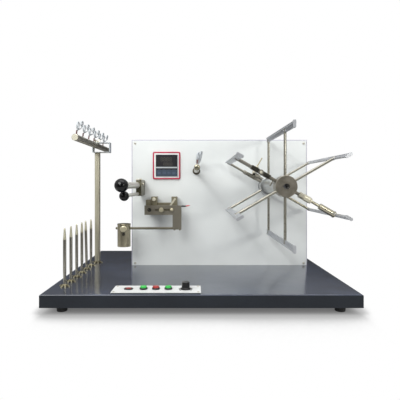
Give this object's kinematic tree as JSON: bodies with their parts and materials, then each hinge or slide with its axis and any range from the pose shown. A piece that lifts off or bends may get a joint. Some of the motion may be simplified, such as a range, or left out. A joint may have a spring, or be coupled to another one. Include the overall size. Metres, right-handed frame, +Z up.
{
  "type": "yarn wrap reel",
  "caption": "Bench reel that wraps yarns side by side on a folding arm reel, with pegs, wire guides, a traverse, tension rods, a counter and a balance.",
  "frame": {"origin": "on the floor under the middle of the whole footprint, reel bars included", "axes": "+X to the right seen from the front, +Y to the back, +Z up"},
  "size_m": [0.83, 0.703, 0.5234],
  "materials": {
    "deck_paint": "glossy dark blue-grey enamel",
    "shell_paint": "pale lilac-grey enamel",
    "panel_paint": "white satin enamel",
    "machine_paint": "grey machine paint",
    "zinc_sheet": "zinc-plated sheet",
    "foot_rubber": "black rubber",
    "belt_rubber": "black rubber",
    "screw_steel": "plated steel",
    "nickel": "turned steel with a warm nickel plate",
    "dark_steel": "dark blackened steel",
    "bearing_steel": "ground steel",
    "machine_steel": "milled steel",
    "wire_chrome": "polished wire",
    "satin_aluminium": "satin aluminium",
    "yellow_zinc": "yellow passivated plate",
    "black_plastic": "black moulded plastic",
    "white_plastic": "white moulded plastic",
    "red_frame": "crimson plastic",
    "dark_window": "smoked window",
    "gloss_black": "polished black phenolic",
    "red_needle": "red paint",
    "green_cap": "green plastic",
    "red_cap": "red plastic",
    "board_green": "green laminate"
  },
  "bodies": {
    "stand": {"base_deck": "deck_paint", "base_plate": "zinc_sheet", "rubber_feet": "foot_rubber", "case_screws": "screw_steel", "cabinet_shell": "shell_paint", "front_panel": "panel_paint", "rear_cover": "shell_paint", "power_inlet": "black_plastic", "guide_post": "nickel", "guide_bar": "nickel", "bar_guides": "wire_chrome", "bobbin_pegs": "nickel", "peg_feet": "yellow_zinc", "counter_body": "white_plastic", "counter_frame": "red_frame", "counter_window": "dark_window", "control_strip": "panel_paint", "push_switches": "black_plastic", "traverse_bushing": "dark_steel", "tension_mount": "dark_steel", "balance_carrier": "dark_steel", "reel_flange": "satin_aluminium", "reel_bearings": "bearing_steel", "drive_frame": "machine_paint", "drive_motor": "machine_paint", "drive_belt": "belt_rubber", "gearbox_case": "machine_paint", "circuit_board": "board_green", "power_supply": "zinc_sheet"},
    "reel": {"reel_shaft": "bearing_steel", "reel_hubs": "nickel", "hub_stubs": "dark_steel", "reel_arms": "nickel", "reel_bars": "satin_aluminium", "driven_pulley": "satin_aluminium"},
    "fold": {"fold_rods": "dark_steel", "fold_block": "dark_steel", "fold_bar": "satin_aluminium"},
    "clamp": {"clamp_screw": "wire_chrome"},
    "adjust": {"adjust_rods": "nickel", "adjust_bar": "satin_aluminium"},
    "nut": {"adjust_nut": "nickel"},
    "traverse": {"traverse_rod": "nickel", "rod_guides": "wire_chrome", "cam_yoke": "machine_steel"},
    "cam": {"heart_cam": "machine_steel", "cam_shaft": "bearing_steel"},
    "rotor": {"motor_pulley": "satin_aluminium"},
    "tension": {"tension_head": "dark_steel", "tension_rods": "nickel", "tension_balls": "gloss_black"},
    "balance": {"balance_beam": "dark_steel", "balance_pointer": "red_needle"},
    "cup": {"balance_cup": "nickel"},
    "poise": {"setting_knob": "nickel"},
    "start": {"button_start": "green_cap"},
    "stop": {"button_stop": "red_cap"},
    "reset": {"button_reset": "green_cap"},
    "rocker": {"power_rocker": "red_cap"},
    "knob": {"speed_knob": "black_plastic"}
  },
  "joints": [
    {"name": "reel_spin", "type": "hinge", "parent": "stand", "child": "reel", "pos_m": [0.2334, -0.2455, 0.3286], "axis": [0, -1, 0], "continuous": true},
    {"name": "motor_spin", "type": "hinge", "parent": "stand", "child": "rotor", "pos_m": [0.2334, 0.2235, 0.152], "axis": [0, -1, 0], "continuous": true},
    {"name": "arm_fold", "type": "hinge", "parent": "reel", "child": "fold", "pos_m": [0.16585, -0.2455, 0.3676], "axis": [0, -1, 0], "range_deg": [0, 90]},
    {"name": "clamp_turn", "type": "hinge", "parent": "fold", "child": "clamp", "pos_m": [0.15162, -0.2455, 0.37582], "axis": [-0.5, 0, -0.866], "range_deg": [-180, 180]},
    {"name": "adjust_turn", "type": "hinge", "parent": "reel", "child": "nut", "pos_m": [0.28536, -0.2455, 0.2986], "axis": [0.866, 0, -0.5], "range_deg": [-720, 720]},
    {"name": "arm_extend", "type": "slide", "parent": "reel", "child": "adjust", "axis": [0.866, 0, -0.5], "range_m": [-0.003, 0.003]},
    {"name": "cam_turn", "type": "hinge", "parent": "stand", "child": "cam", "pos_m": [-0.0105, 0.1505, 0.381], "axis": [1, 0, 0], "range_deg": [0, 180]},
    {"name": "traverse_slide", "type": "slide", "parent": "stand", "child": "traverse", "axis": [0, -1, 0], "range_m": [0, 0.035]},
    {"name": "tension_tilt", "type": "hinge", "parent": "stand", "child": "tension", "pos_m": [-0.1989, -0.0115, 0.3227], "axis": [0, -1, 0], "range_deg": [-30, 30]},
    {"name": "balance_tilt", "type": "hinge", "parent": "stand", "child": "balance", "pos_m": [-0.1662, -0.0275, 0.2499], "axis": [0, -1, 0], "range_deg": [-6, 6]},
    {"name": "cup_slide", "type": "slide", "parent": "balance", "child": "cup", "axis": [1, 0, 0], "range_m": [-0.005, 0.13]},
    {"name": "setting_slide", "type": "slide", "parent": "balance", "child": "poise", "axis": [1, 0, 0], "range_m": [-0.018, 0.018]},
    {"name": "start_press", "type": "slide", "parent": "stand", "child": "start", "axis": [0, 0, -1], "range_m": [0, 0.003], "stiffness_N_per_m": 300},
    {"name": "stop_press", "type": "slide", "parent": "stand", "child": "stop", "axis": [0, 0, -1], "range_m": [0, 0.003], "stiffness_N_per_m": 300},
    {"name": "reset_press", "type": "slide", "parent": "stand", "child": "reset", "axis": [0, 0, -1], "range_m": [0, 0.003], "stiffness_N_per_m": 300},
    {"name": "rocker_tilt", "type": "hinge", "parent": "stand", "child": "rocker", "pos_m": [-0.193, -0.2892, 0.054], "axis": [0, 1, 0], "range_deg": [-8, 8]},
    {"name": "knob_turn", "type": "hinge", "parent": "stand", "child": "knob", "pos_m": [-0.041, -0.2892, 0.062], "axis": [0, 0, 1], "range_deg": [-150, 150]}
  ],
  "couplings": [
    {"joint": "motor_spin", "follows": "reel_spin", "ratio": 3},
    {"joint": "adjust_turn", "follows": "arm_extend", "rad_per_m": 4188.8},
    {"joint": "traverse_slide", "follows": "cam_turn", "m_per_rad": 0.011141}
  ]
}
